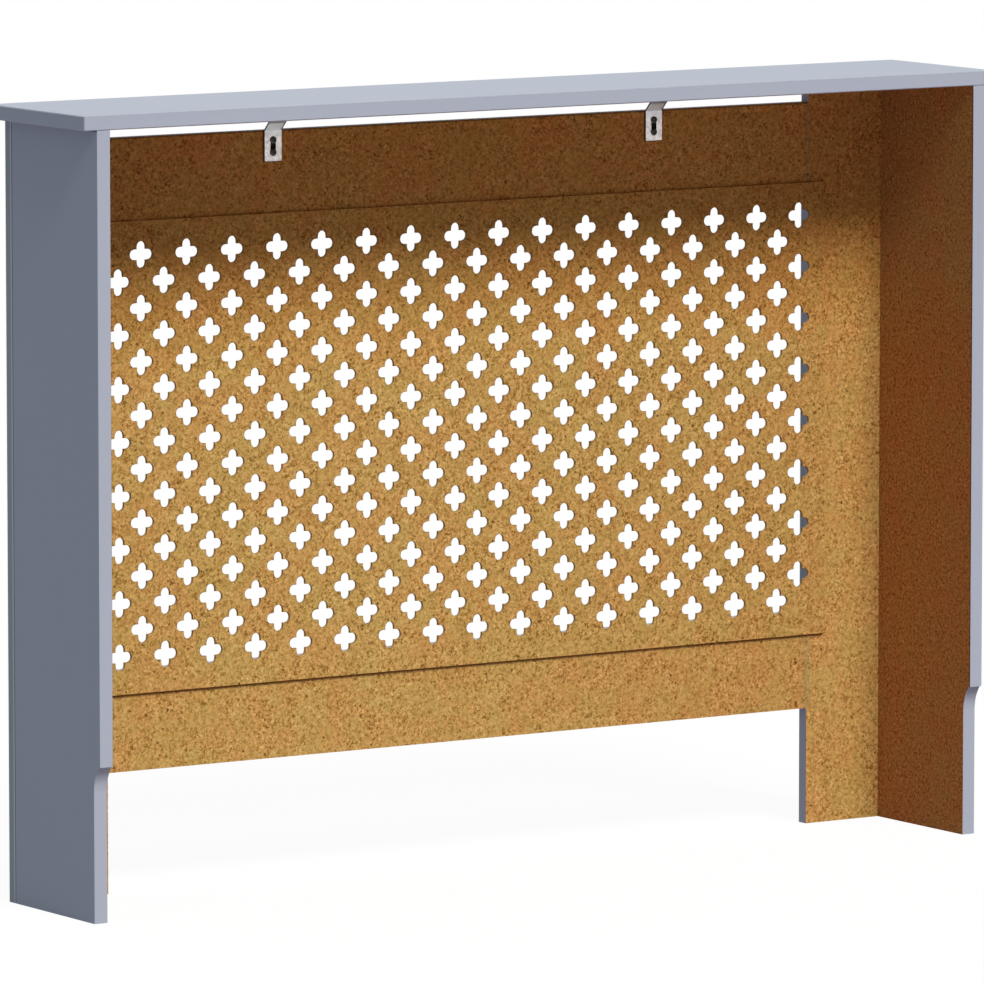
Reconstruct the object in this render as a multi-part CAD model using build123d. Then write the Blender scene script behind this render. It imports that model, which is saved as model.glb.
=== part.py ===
from build123d import *
import os

# Radiator cover cabinet, in millimetres.
# X runs across the cover, +X to the right of a person in front of it.
# Y runs from the front (-Y) to the wall (+Y). Z is up, and the feet stand on z = 0.
# The origin is the centre of the footprint, on the floor.

# ---------------------------------------------------------------- boards
BOARD = 15.0                # thickness of the shelf, sides, stiles and rails
COVER_HEIGHT = 815.0        # floor to the top of the shelf
SHELF_WIDTH = 1120.0
SHELF_DEPTH = 190.0
SHELF_EDGE_CHAMFER = 1.0    # eased edges all round the shelf
SHELF_SIDE_OVERHANG = 14.5  # past the outer face of each side
SHELF_FRONT_OVERHANG = 7.0  # past the front of the frame

# ---------------------------------------------------------------- front frame
STILE_WIDTH = 109.5
FRAME_EDGE_RADIUS = 3.0     # routed round on the front edges of the frame
AIR_GAP = 24.0              # between the top rail and the shelf
TOP_RAIL_HEIGHT = 106.0
FLOOR_GAP = 125.0           # under the bottom rail
BOTTOM_RAIL_HEIGHT = 104.5

# ---------------------------------------------------------------- grille
GRILLE_THICKNESS = 3.0
GRILLE_LAP = 20.5           # of the panel over the top rail and the stiles
GRILLE_LAP_BELOW = 26.0     # of the panel over the bottom rail
HOLE_PITCH_X = 27.25        # from one column of holes to the next
HOLE_PITCH_Z = 27.5         # from one row of holes to the next
LOBE_REACH = 13.5           # centre of a hole to the tip of a lobe
LOBE_ROOT_WIDTH = 11.0      # width of a lobe where two lobes meet
LOBE_TIP_WIDTH = 8.0        # width of a lobe at its blunt tip

# ---------------------------------------------------------------- skirting notch
NOTCH_HEIGHT = 160.0
NOTCH_DEPTH = 12.0
NOTCH_LEDGE = 2.5           # flat step above the cove
NOTCH_COVE_DROP = 26.0      # height over which the cove reaches the full depth

# ---------------------------------------------------------------- shelf brackets
BRACKET_SPACING = 472.0     # centre to centre
BRACKET_WIDTH = 20.5
BRACKET_THICKNESS = 2.0
BRACKET_LEG = 32.0          # below the top edge of the rail
BRACKET_RUN = 24.0          # how far the sloping web leans towards the wall
BRACKET_FLANGE = 30.0       # under the shelf
BRACKET_BEND_RADIUS = 1.5   # inside a bend
BRACKET_CORNER_CHAMFER = 1.5
SLOT_WIDTH = 6.4
SLOT_LENGTH = 19.0
SLOT_INSET = 6.0            # end of the leg to the end of its slot
FLANGE_HOLE_DIAMETER = 4.5
FLANGE_HOLE_INSET = 12.0    # end of the flange to the middle of its hole

# ---------------------------------------------------------------- fasteners
SCREW_SIDES = 12            # flats that stand for the round of a screw and its bore
SCREW_HEAD_DIAMETER = 7.8
SCREW_HEAD_HEIGHT = 1.6
SCREW_DIAMETER = 3.5
SCREW_LENGTH = 12.0         # under the head
BORE_CLEARANCE = 0.1        # around a screw, in radius
BORE_EXTRA = 1.0            # of a pilot bore past the tip of its screw

# ---------------------------------------------------------------- biscuits
# Flat lens-shaped slips of pressed beech, glued half into each board of a joint.
BISCUIT_LENGTH = 53.0
BISCUIT_WIDTH = 19.0
BISCUIT_THICKNESS = 4.0
BISCUIT_CLEARANCE = 0.25    # of its slot, all round
SHELF_BISCUIT_INSET = 40.0  # from each end of a side's top edge to the biscuit's middle
STILE_BISCUIT_INSET = 90.0  # from the floor and from the shelf to the biscuit's middle

# ---------------------------------------------------------------- places that follow
WALL_Y = SHELF_DEPTH / 2
FRAME_FRONT_Y = SHELF_FRONT_OVERHANG - SHELF_DEPTH / 2
FRAME_BACK_Y = FRAME_FRONT_Y + BOARD
FRAME_MIDDLE_Y = FRAME_BACK_Y - BOARD / 2
SHELF_UNDER = COVER_HEIGHT - BOARD
BODY_HALF = SHELF_WIDTH / 2 - SHELF_SIDE_OVERHANG
SIDE_MIDDLE_X = BODY_HALF - BOARD / 2
OPENING_HALF = BODY_HALF - STILE_WIDTH
TOP_RAIL_TOP = SHELF_UNDER - AIR_GAP
OPENING_TOP = TOP_RAIL_TOP - TOP_RAIL_HEIGHT
OPENING_BOTTOM = FLOOR_GAP + BOTTOM_RAIL_HEIGHT
HANDS = {"left": -1, "right": 1}


def block(xs, ys, zs):
    """A box between two X, two Y and two Z values."""
    ranges = (sorted(xs), sorted(ys), sorted(zs))
    size = [high - low for low, high in ranges]
    middle = [(high + low) / 2 for low, high in ranges]
    return Pos(*middle) * Box(*size)


# ---------------------------------------------------------------- biscuits
def shelf_biscuits(hand):
    """Planes of the biscuits between the shelf and a side, with X along the joint."""
    ys = (FRAME_BACK_Y + SHELF_BISCUIT_INSET, WALL_Y - SHELF_BISCUIT_INSET)
    places = [(hand * SIDE_MIDDLE_X, y, SHELF_UNDER) for y in ys]
    return [Plane(origin=place, x_dir=(0, 1, 0), z_dir=(1, 0, 0)) for place in places]


def stile_biscuits(hand):
    """Planes of the biscuits between a stile and a side, with X along the joint."""
    zs = (STILE_BISCUIT_INSET, SHELF_UNDER / 2, SHELF_UNDER - STILE_BISCUIT_INSET)
    places = [(hand * SIDE_MIDDLE_X, FRAME_BACK_Y, z) for z in zs]
    return [Plane(origin=place, x_dir=(0, 0, 1), z_dir=(1, 0, 0)) for place in places]


def rail_biscuits(hand):
    """Planes of the biscuits between a stile and the middle of each rail's end."""
    zs = ((FLOOR_GAP + OPENING_BOTTOM) / 2, (OPENING_TOP + TOP_RAIL_TOP) / 2)
    places = [(hand * OPENING_HALF, FRAME_MIDDLE_Y, z) for z in zs]
    return [Plane(origin=place, x_dir=(0, 0, 1), z_dir=(0, 1, 0)) for place in places]


def biscuits(planes, clearance=0.0):
    """A group of separate biscuits or, with a clearance, of the slots that hold them."""
    half_length = BISCUIT_LENGTH / 2 + clearance
    half_width = BISCUIT_WIDTH / 2 + clearance
    outline = make_face(
        Polyline(
            (-half_length, 0),
            (-half_length / 2, -half_width),
            (half_length / 2, -half_width),
            (half_length, 0),
            (half_length / 2, half_width),
            (-half_length / 2, half_width),
            close=True,
        )
    )
    biscuit = extrude(outline, BISCUIT_THICKNESS / 2 + clearance, both=True)
    return [plane * biscuit for plane in planes]


def biscuit_slots(planes):
    """The slots of a group of biscuits, through both boards of the joint."""
    return biscuits(planes, BISCUIT_CLEARANCE)


# ---------------------------------------------------------------- brackets and their screws
def leg_slot_plane(hand):
    """A plane on the leg's rear face, at the middle of its slot, with X along the slot."""
    slot_z = TOP_RAIL_TOP - BRACKET_LEG + SLOT_INSET + SLOT_LENGTH / 2
    origin = (hand * BRACKET_SPACING / 2, FRAME_BACK_Y + BRACKET_THICKNESS, slot_z)
    return Plane(origin=origin, x_dir=(0, 0, 1), z_dir=(0, 1, 0))


def leg_screw_planes(hand):
    """The planes under the heads of the two screws in the ends of the leg's slot."""
    reach = (SLOT_LENGTH - SLOT_WIDTH) / 2
    return [leg_slot_plane(hand) * Pos(end * reach, 0, 0) for end in (-1, 1)]


def flange_screw_planes(hand):
    """The plane under the head of the screw in the flange's hole."""
    flange_end = FRAME_BACK_Y + BRACKET_RUN + BRACKET_FLANGE
    hole_y = flange_end - FLANGE_HOLE_INSET
    origin = (hand * BRACKET_SPACING / 2, hole_y, SHELF_UNDER - BRACKET_THICKNESS)
    return [Plane(origin=origin, x_dir=(0, 1, 0), z_dir=(0, 0, -1))]


def screws(planes):
    """Flat-bottomed pan-head screws that stand on their planes."""
    head = extrude(RegularPolygon(SCREW_HEAD_DIAMETER / 2, SCREW_SIDES), SCREW_HEAD_HEIGHT)
    shank = extrude(RegularPolygon(SCREW_DIAMETER / 2, SCREW_SIDES), -SCREW_LENGTH)
    screw = head + shank
    return [plane * screw for plane in planes]


def screw_bores(planes):
    """The pilot bores of the screws, from the bracket's face into the board behind it."""
    depth = SCREW_LENGTH + BORE_EXTRA
    outline = RegularPolygon(SCREW_DIAMETER / 2 + BORE_CLEARANCE, SCREW_SIDES)
    return [plane * extrude(outline, -depth) for plane in planes]


def shelf_bracket(hand):
    """A bent steel strip: leg on the rail's back, sloping web, flange under the shelf."""
    seat_line = FilletPolyline(
        (FRAME_BACK_Y, TOP_RAIL_TOP - BRACKET_LEG),
        (FRAME_BACK_Y, TOP_RAIL_TOP),
        (FRAME_BACK_Y + BRACKET_RUN, SHELF_UNDER),
        (FRAME_BACK_Y + BRACKET_RUN + BRACKET_FLANGE, SHELF_UNDER),
        radius=BRACKET_BEND_RADIUS + BRACKET_THICKNESS,
    )
    section = make_face(offset(seat_line, BRACKET_THICKNESS, side=Side.RIGHT).edges())
    strip = extrude(Plane.YZ * section, BRACKET_WIDTH / 2, both=True)
    foot_corners = strip.edges().filter_by(Axis.Y).group_by(Axis.Z)[0]
    tip_corners = strip.edges().filter_by(Axis.Z).group_by(Axis.Y)[-1]
    strip = chamfer(foot_corners + tip_corners, BRACKET_CORNER_CHAMFER)
    strip = Pos(hand * BRACKET_SPACING / 2, 0, 0) * strip
    slot = leg_slot_plane(hand) * SlotOverall(SLOT_LENGTH, SLOT_WIDTH)
    strip -= extrude(slot, -BRACKET_THICKNESS)
    for plane in flange_screw_planes(hand):
        strip -= extrude(plane * Circle(FLANGE_HOLE_DIAMETER / 2), -BRACKET_THICKNESS)
    return strip


# ---------------------------------------------------------------- boards
def top_shelf():
    """The shelf, with eased edges, biscuit slots and pilot bores in its underside."""
    zs = (SHELF_UNDER, COVER_HEIGHT)
    board = block((-SHELF_WIDTH / 2, SHELF_WIDTH / 2), (-SHELF_DEPTH / 2, WALL_Y), zs)
    board = chamfer(board.edges(), SHELF_EDGE_CHAMFER)
    for hand in HANDS.values():
        board -= biscuit_slots(shelf_biscuits(hand))
        board -= screw_bores(flange_screw_planes(hand))
    return board


def side_panel(hand):
    """A side: a board with a coved notch at its rear foot that clears the skirting."""
    notch_y = WALL_Y - NOTCH_DEPTH
    cove_foot = (notch_y, NOTCH_HEIGHT - NOTCH_COVE_DROP)
    cove_top = (WALL_Y - NOTCH_LEDGE, NOTCH_HEIGHT)
    outline = [
        Polyline((FRAME_BACK_Y, 0), (notch_y, 0), cove_foot),
        TangentArc(cove_foot, cove_top, tangent=(0, 1)),
        Polyline(
            cove_top,
            (WALL_Y, NOTCH_HEIGHT),
            (WALL_Y, SHELF_UNDER),
            (FRAME_BACK_Y, SHELF_UNDER),
            (FRAME_BACK_Y, 0),
        ),
    ]
    face = make_face([edge for line in outline for edge in line.edges()])
    board = extrude(Plane.YZ * face, BOARD / 2, both=True)
    board = Pos(hand * SIDE_MIDDLE_X, 0, 0) * board
    board -= biscuit_slots(shelf_biscuits(hand))
    board -= biscuit_slots(stile_biscuits(hand))
    return board


def front_frame():
    """The stiles and rails as one blank, with routed front edges, before it is parted."""
    plane = Plane(origin=(0, FRAME_BACK_Y, 0), x_dir=(1, 0, 0), z_dir=(0, -1, 0))
    outline = Pos(0, SHELF_UNDER / 2) * Rectangle(2 * BODY_HALF, SHELF_UNDER)
    gaps = (
        (0, FLOOR_GAP),
        (OPENING_BOTTOM, OPENING_TOP),
        (TOP_RAIL_TOP, SHELF_UNDER),
    )
    for low, high in gaps:
        outline -= Pos(0, (low + high) / 2) * Rectangle(2 * OPENING_HALF, high - low)
    blank = extrude(plane * outline, BOARD)
    front_edges = blank.faces().sort_by(Axis.Y)[0].edges()
    return fillet(front_edges.group_by(Axis.Z)[:-1], FRAME_EDGE_RADIUS)


def front_stile(hand, frame):
    """The part of the frame in front of a side, with its biscuit slots."""
    board = frame & block(
        (hand * OPENING_HALF, hand * BODY_HALF),
        (FRAME_FRONT_Y, FRAME_BACK_Y),
        (0, SHELF_UNDER),
    )
    board -= biscuit_slots(stile_biscuits(hand))
    board -= biscuit_slots(rail_biscuits(hand))
    return board


def rail(frame, bottom, top):
    """The part of the frame between the stiles, with its biscuit slots."""
    board = frame & block(
        (-OPENING_HALF, OPENING_HALF),
        (FRAME_FRONT_Y, FRAME_BACK_Y),
        (bottom, top),
    )
    for hand in HANDS.values():
        board -= biscuit_slots(rail_biscuits(hand))
    return board


def top_rail(frame):
    """The upper rail, with the pilot bores of the bracket screws."""
    board = rail(frame, OPENING_TOP, TOP_RAIL_TOP)
    for hand in HANDS.values():
        board -= screw_bores(leg_screw_planes(hand))
    return board


def bottom_rail(frame):
    """The lower rail."""
    return rail(frame, FLOOR_GAP, OPENING_BOTTOM)


# ---------------------------------------------------------------- grille
def lobed_hole():
    """A four-lobed hole: one blunt lobe and one root corner for each quarter turn."""
    root = LOBE_ROOT_WIDTH / 2
    tip = LOBE_TIP_WIDTH / 2
    points = []
    for quarter in range(4):
        for x, y in ((LOBE_REACH, -tip), (LOBE_REACH, tip), (root, root)):
            points.append(Vector(x, y).rotate(Axis.Z, 90 * quarter))
    return Wire.make_polygon(points, close=True)


def hole_places():
    """Centres of the staggered holes that fill the opening, from its middle."""
    room_x = 2 * (OPENING_HALF - LOBE_REACH)
    room_z = OPENING_TOP - OPENING_BOTTOM - 2 * LOBE_REACH
    columns = int(room_x / HOLE_PITCH_X) + 1
    rows = int(room_z / HOLE_PITCH_Z) + 1
    for column in range(columns):
        for row in range(rows):
            if (column + row) % 2:
                x = (column - (columns - 1) / 2) * HOLE_PITCH_X
                z = (row - (rows - 1) / 2) * HOLE_PITCH_Z
                yield x, z


def grille_panel():
    """A thin sheet on the back of the frame, pierced with four-lobed holes."""
    opening_middle = (OPENING_TOP + OPENING_BOTTOM) / 2
    width = 2 * (OPENING_HALF + GRILLE_LAP)
    bottom = OPENING_BOTTOM - GRILLE_LAP_BELOW
    top = OPENING_TOP + GRILLE_LAP
    plane = Plane(origin=(0, FRAME_BACK_Y, opening_middle), x_dir=(-1, 0, 0), z_dir=(0, 1, 0))
    rim = Wire.make_polygon(
        [
            (-width / 2, bottom - opening_middle),
            (width / 2, bottom - opening_middle),
            (width / 2, top - opening_middle),
            (-width / 2, top - opening_middle),
        ],
        close=True,
    )
    hole = lobed_hole()
    holes = [Pos(-x, z) * hole for x, z in hole_places()]
    return extrude(plane * Face(rim, holes), GRILLE_THICKNESS)


# ---------------------------------------------------------------- the whole cover
def sub_parts():
    """Every piece by its name."""
    frame = front_frame()
    parts = {
        "top_shelf": top_shelf(),
        "top_rail": top_rail(frame),
        "bottom_rail": bottom_rail(frame),
        "grille_panel": grille_panel(),
    }
    for name, hand in HANDS.items():
        parts[f"{name}_side_panel"] = side_panel(hand)
        parts[f"{name}_front_stile"] = front_stile(hand, frame)
        parts[f"{name}_shelf_bracket"] = shelf_bracket(hand)
        parts[f"{name}_bracket_rail_screws"] = screws(leg_screw_planes(hand))
        parts[f"{name}_bracket_shelf_screw"] = screws(flange_screw_planes(hand))
        parts[f"{name}_shelf_biscuits"] = biscuits(shelf_biscuits(hand))
        parts[f"{name}_stile_biscuits"] = biscuits(stile_biscuits(hand))
        parts[f"{name}_rail_biscuits"] = biscuits(rail_biscuits(hand))
    return parts


os.makedirs("parts", exist_ok=True)
for part_name, shape in sub_parts().items():
    solids = shape if isinstance(shape, list) else shape.solids()
    export_step(Compound(children=solids), f"parts/{part_name}.step")
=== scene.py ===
# %% [markdown]
# # A radiator cover, seen from the side that faces the wall
#
# The cover is a plain box of medium-density fibreboard (MDF) without a back: a shelf on two sides,
# a frame of two stiles and two rails in front, and a thin pierced panel that lets the warm air
# out. Its show faces are painted grey-blue, and its inner faces are bare brown board. We see it
# from behind, so most of the picture is bare board, and the finish of that board matters most.
#
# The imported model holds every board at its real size. This lesson keeps those boards and gives
# them their finish, and it makes new meshes only where a flat-sided solid isn't enough: the
# round-lobed grille, the bent brackets and their screws.

import math

import bmesh
import bpy
import numpy as np
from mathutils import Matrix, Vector


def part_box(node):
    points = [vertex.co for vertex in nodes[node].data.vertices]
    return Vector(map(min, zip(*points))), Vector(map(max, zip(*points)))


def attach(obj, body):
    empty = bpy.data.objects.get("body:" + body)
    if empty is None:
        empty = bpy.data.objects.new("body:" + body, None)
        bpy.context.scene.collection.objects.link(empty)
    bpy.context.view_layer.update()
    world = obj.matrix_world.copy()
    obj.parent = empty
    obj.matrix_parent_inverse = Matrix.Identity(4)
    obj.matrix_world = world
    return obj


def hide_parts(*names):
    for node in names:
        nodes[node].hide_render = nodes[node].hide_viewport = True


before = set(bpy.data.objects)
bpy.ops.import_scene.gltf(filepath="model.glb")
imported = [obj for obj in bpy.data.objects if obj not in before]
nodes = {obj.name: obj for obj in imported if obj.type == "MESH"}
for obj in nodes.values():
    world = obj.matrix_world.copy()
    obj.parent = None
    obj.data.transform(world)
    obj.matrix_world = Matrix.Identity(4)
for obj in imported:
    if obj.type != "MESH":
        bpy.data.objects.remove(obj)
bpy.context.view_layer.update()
MM = 0.001
HANDS = {"left": -1, "right": 1}
print("boards and fittings:", len(nodes))

# %% [markdown]
# The places of the boards come from the model itself, so that a finish ends exactly where a board
# ends. A few of them are used again and again below: the planes of the frame's back, of the sides'
# inner faces and of the shelf's underside.


# %% Read the planes that the finishes need
def corners(node_name):
    """The lowest and the highest corner of a node of the model."""
    return [np.array(corner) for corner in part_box(node_name)]


stile_high = corners("left_front_stile")[1]
side_low, side_high = corners("left_side_panel")
grille_low, grille_high = corners("grille_panel")
rail_low, rail_high = corners("top_rail")
lower_rail_low, lower_rail_high = corners("bottom_rail")
shelf_high = corners("top_shelf")[1]
bracket_low, bracket_high = corners("right_shelf_bracket")

frame_back_y = stile_high[1]
inner_face_x = -side_high[0]
shelf_under_z = side_high[2]
opening_half = rail_high[0]
opening_middle_z = (rail_low[2] + lower_rail_high[2]) / 2
print(f"frame back y {frame_back_y:.4f}, inner faces x {inner_face_x:.4f}")
print(f"shelf's underside z {shelf_under_z:.4f}, opening's middle z {opening_middle_z:.4f}")


# %% [markdown]
# ## The camera
#
# The picture was taken from about ten metres away with a long lens, which is why the far end of
# the cover is hardly smaller than the near one. The camera stands behind the cover, 33 degrees
# round from straight behind, and looks down by not quite 7 degrees.

# %% Put the camera behind the cover
VIEW_AZIMUTH = math.radians(33.193)     # from straight behind, towards the right-hand side
VIEW_ELEVATION = math.radians(6.763)
VIEW_DISTANCE = 10.0466
VIEW_TARGET = Vector((0.01410, 0.0, 0.39465))
LENS_MM = 354.43
SENSOR_MM = 36.0
FARTHEST_SEEN = 200.0


def toward(azimuth, elevation):
    """The direction at one angle round from straight behind and another up from level."""
    level = math.cos(elevation)
    return Vector((math.sin(azimuth) * level, math.cos(azimuth) * level, math.sin(elevation)))


def add_object(name, data):
    """A new object in the scene, at its origin."""
    thing = bpy.data.objects.new(name, data)
    bpy.context.scene.collection.objects.link(thing)
    return thing


def add_aimed(name, data, heading, location):
    """A camera or a lamp at a location, which looks back against the heading."""
    thing = add_object(name, data)
    thing.location = location
    thing.rotation_euler = (-heading).to_track_quat("-Z", "Y").to_euler()
    return thing


lens = bpy.data.cameras.new("wall_side_camera")
lens.lens = LENS_MM
lens.sensor_width = SENSOR_MM
lens.clip_end = FARTHEST_SEEN
toward_camera = toward(VIEW_AZIMUTH, VIEW_ELEVATION)
camera_place = VIEW_TARGET + VIEW_DISTANCE * toward_camera
camera = add_aimed("wall_side_camera", lens, toward_camera, camera_place)
bpy.context.scene.camera = camera
bpy.context.scene.view_settings.view_transform = "Standard"
print("camera at", [round(value, 3) for value in camera.location])


# %% [markdown]
# ## A small kit for node materials
#
# Every finish below is a node tree. A few helpers keep them short: they add a node and set its
# values and links, do a sum on numbers, mix two colours by a mask, carry a number from one range
# to another, make noise at a real size, and take a place apart into its x, y and z.

# %% Helpers that build node trees
def add_node(tree, kind, values=None, **settings):
    """Adds a node. values are numbers or links for its inputs, and settings are its options."""
    node = tree.nodes.new(kind)
    for key, value in settings.items():
        setattr(node, key, value)
    for key, value in (values or {}).items():
        socket = node.inputs[key]
        if isinstance(value, bpy.types.NodeSocket):
            tree.links.new(value, socket)
        else:
            socket.default_value = value
    return node


def math_node(tree, operation, *values):
    """The result of one operation on one, two or three numbers or links."""
    numbered = dict(enumerate(values))
    return add_node(tree, "ShaderNodeMath", numbered, operation=operation).outputs[0]


def mix_colours(tree, mask, first, second, blend="MIX"):
    """first where the mask is 0 and second where it is 1."""
    values = {0: mask, 6: first, 7: second}
    return add_node(tree, "ShaderNodeMix", values, data_type="RGBA", blend_type=blend).outputs[2]


def ramp(tree, value, low, high, start=0.0, end=1.0):
    """Carries a number from the range low..high to start..end, and holds it inside."""
    values = {0: value, 1: low, 2: high, 3: start, 4: end}
    return add_node(tree, "ShaderNodeMapRange", values, clamp=True).outputs[0]


def noise(tree, place, size, detail=2.0, roughness=0.5, twist=0.0):
    """Soft noise from 0 to 1 whose features are about size metres wide, and curl with twist."""
    values = {"Vector": place, "Scale": 1.0 / size, "Detail": detail, "Roughness": roughness}
    values["Distortion"] = twist
    return add_node(tree, "ShaderNodeTexNoise", values).outputs["Fac"]


def axes_of(tree, vector):
    """The x, y and z of a place or of a direction."""
    return add_node(tree, "ShaderNodeSeparateXYZ", {"Vector": vector}).outputs


def stretched(tree, place, amounts):
    """The place, squeezed along each axis, so that a pattern on it comes out longer."""
    return add_node(tree, "ShaderNodeMapping", {"Vector": place, "Scale": amounts}).outputs[0]


# %% [markdown]
# A mask is a number that is 1 on one part of a piece and 0 on the rest. Most masks here are boxes:
# they hold where the distance from the cover's middle, the depth and the height all lie in given
# ranges. The distance has no sign, so both hands of the cover get the same marks.

# %% Helpers that make masks
FAR = 1.0                               # metres, past every face of the cover


def beyond(tree, value, limit):
    """1 where the value is over the limit, and 0 elsewhere."""
    return math_node(tree, "GREATER_THAN", value, limit)


def short_of(tree, value, limit):
    """1 where the value is under the limit, and 0 elsewhere."""
    return math_node(tree, "LESS_THAN", value, limit)


def both(tree, first, second):
    """1 where both masks are 1. A plain number in the place of one weakens the other."""
    return math_node(tree, "MULTIPLY", first, second)


def either(tree, first, second):
    """1 where one mask or the other is 1."""
    return math_node(tree, "MAXIMUM", first, second)


def from_middle(tree, axes):
    """The distance from the middle of the cover, to the left or to the right."""
    return math_node(tree, "ABSOLUTE", axes[0])


def part_within(aside=None, depth=None, height=None):
    """A mask for where the distance from the middle, y and z lie in the ranges that are given."""

    def mask(tree, axes):
        held = 1.0
        for place, limits in zip((from_middle(tree, axes), *axes[1:]), (aside, depth, height)):
            if limits:
                low, high = limits
                in_range = math_node(tree, "COMPARE", place, (low + high) / 2, (high - low) / 2)
                held = both(tree, held, in_range)
        return held

    return mask


def about(middle, half):
    """The range that reaches from one half before its middle to one half past it."""
    return middle - half, middle + half


# %% Helpers that make materials and colours
def new_material(name):
    """An empty material with its tree, its shader and its place on the piece in metres."""
    material = bpy.data.materials.new(name)
    material.use_nodes = True
    tree = material.node_tree
    shader = tree.nodes["Principled BSDF"]
    place = add_node(tree, "ShaderNodeTexCoord").outputs["Object"]
    return material, tree, shader, place


def rgb(red, green, blue):
    """A colour with full alpha, from linear values."""
    return (red, green, blue, 1.0)


WHITE = rgb(1.0, 1.0, 1.0)

# %% [markdown]
# ## Bare fibreboard
#
# Bare MDF is wood fibre pressed with resin. From a step away it is one warm brown. Closer, it
# shows a soft mottle a few millimetres wide, livelier in some patches than in others, scattered
# dark specks and short dark slivers of bark, and slow drifts between a yellower and a redder
# brown. Each of these is one noise or cell pattern at its real size, so the board looks right at
# every distance.

# %% Browns, sizes and amounts of bare board
BOARD_REDDER = rgb(0.589, 0.304, 0.086)
BOARD_YELLOWER = rgb(0.552, 0.340, 0.093)
GRAIN_DARK = rgb(0.220, 0.092, 0.009)
GRAIN_PALE = rgb(0.910, 0.575, 0.220)
SPECK_BROWN = rgb(0.085, 0.034, 0.007)
GRAIN_SIZE = 2.85 * MM
BLOTCH_SIZE = 9.0 * MM
PATCH_SIZE = 22.0 * MM
DRIFT_SIZE = 45.0 * MM

DRIFT_SHARE = 0.75                      # of the change of brown. The rest comes from the blotches
REDNESS = (0.40, 0.60)                  # each of these four is a range of noise, and the range of
LIVELINESS = (0.38, 0.62, 0.60, 1.0)    # amounts that it gives, from 0 to 1 where it isn't named
DARK_GRAIN = (0.485, 0.36)
PALE_GRAIN = (0.52, 0.68, 0.0, 0.80)

SPECK_SPACING = 6.5 * MM
SPECK_RADIUS = 1.7 * MM
SPECK_SHARE = 0.4
SPECK_SOFTNESS = 0.3
SPECK_STRENGTH = 0.85
SPECK_DEPTH = 0.5
SLIVER_SPACING = 12.0 * MM
SLIVER_RADIUS = 1.2 * MM
SLIVER_SHARE = 0.5
UPRIGHT_SLIVER = (1.6, 1.6, 0.5)
LYING_SLIVER = (0.5, 0.5, 1.7)
print(f"grain {GRAIN_SIZE / MM:.2f} mm, drifts {DRIFT_SIZE / MM:.0f} mm")

# %% [markdown]
# No two sheets of fibreboard have quite the same brown, and no sheet has it all over. So a sheet
# has three tints: one of its right end, one of its left end, and one that comes in towards its
# top. The top one is painted shade: it gives the board its colour in the shade under the shelf.

# %% Colour and height of bare board
FROM_RIGHT_TO_LEFT = (0.10, -0.40)      # along the cover, in metres from its middle
TOWARDS_TOP = (0.51, 0.60)              # above the floor, in metres
# Painted shade: bare board is made warmer towards the top, where the shelf's shadow falls
SHELF_SHADE_TINT = rgb(1.010, 0.900, 0.770)
PLAIN_TINTS = (WHITE, WHITE, SHELF_SHADE_TINT)


def specks(tree, place, spacing, largest, share):
    """A mask of dots: one in each cell of the given spacing, in a share of the cells."""
    cells = add_node(tree, "ShaderNodeTexVoronoi", {"Vector": place, "Scale": 1.0 / spacing})
    chance = add_node(tree, "ShaderNodeSeparateColor", {"Color": cells.outputs["Color"]})
    radius = ramp(tree, chance.outputs[0], 1.0 - share, 1.0, 0.0, largest / spacing)
    gap = math_node(tree, "SUBTRACT", cells.outputs["Distance"], radius)
    return ramp(tree, gap, -SPECK_SOFTNESS * largest / spacing, 0.0, 1.0, 0.0)


def tinted(tree, place, colour, tints):
    """The colour times the tint of its place on the sheet."""
    axes = axes_of(tree, place)
    right_tint, left_tint, shade_tint = tints
    end_tint = mix_colours(tree, ramp(tree, axes[0], *FROM_RIGHT_TO_LEFT), right_tint, left_tint)
    colour = mix_colours(tree, 1.0, colour, end_tint, blend="MULTIPLY")
    # The third tint is painted shade, faded in towards the top
    at_top = ramp(tree, axes[2], *TOWARDS_TOP)
    return mix_colours(tree, at_top, colour, shade_tint, blend="MULTIPLY")


def bare_board(tree, place, tints=PLAIN_TINTS):
    """Colour and height of bare fibreboard at a place in metres."""
    drift = both(tree, noise(tree, place, DRIFT_SIZE), DRIFT_SHARE)
    blotches = both(tree, noise(tree, place, BLOTCH_SIZE, detail=0.0), 1 - DRIFT_SHARE)
    redness = ramp(tree, math_node(tree, "ADD", drift, blotches), *REDNESS)
    colour = mix_colours(tree, redness, BOARD_YELLOWER, BOARD_REDDER)
    grain = noise(tree, place, GRAIN_SIZE, detail=3.0, roughness=0.65, twist=0.6)
    liveliness = ramp(tree, noise(tree, place, PATCH_SIZE), *LIVELINESS)
    for grain_range, grain_brown in ((DARK_GRAIN, GRAIN_DARK), (PALE_GRAIN, GRAIN_PALE)):
        amount = both(tree, ramp(tree, grain, *grain_range), liveliness)
        colour = mix_colours(tree, amount, colour, grain_brown)
    colour = tinted(tree, place, colour, tints)
    marks = specks(tree, place, SPECK_SPACING, SPECK_RADIUS, SPECK_SHARE)
    for shape in (UPRIGHT_SLIVER, LYING_SLIVER):
        long_place = stretched(tree, place, shape)
        slivers = specks(tree, long_place, SLIVER_SPACING, SLIVER_RADIUS, SLIVER_SHARE)
        marks = either(tree, marks, slivers)
    colour = mix_colours(tree, both(tree, marks, SPECK_STRENGTH), colour, SPECK_BROWN)
    return colour, math_node(tree, "SUBTRACT", grain, both(tree, marks, SPECK_DEPTH))


# %% [markdown]
# ## Paint
#
# The show faces carry a matt grey-blue paint over a primer. Sprayed paint on sanded board is
# almost flat: a faint stipple in its surface, and hardly any change of colour. Its roughness does
# the work, because a matt face still picks up a soft sheen where we look along it.

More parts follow.
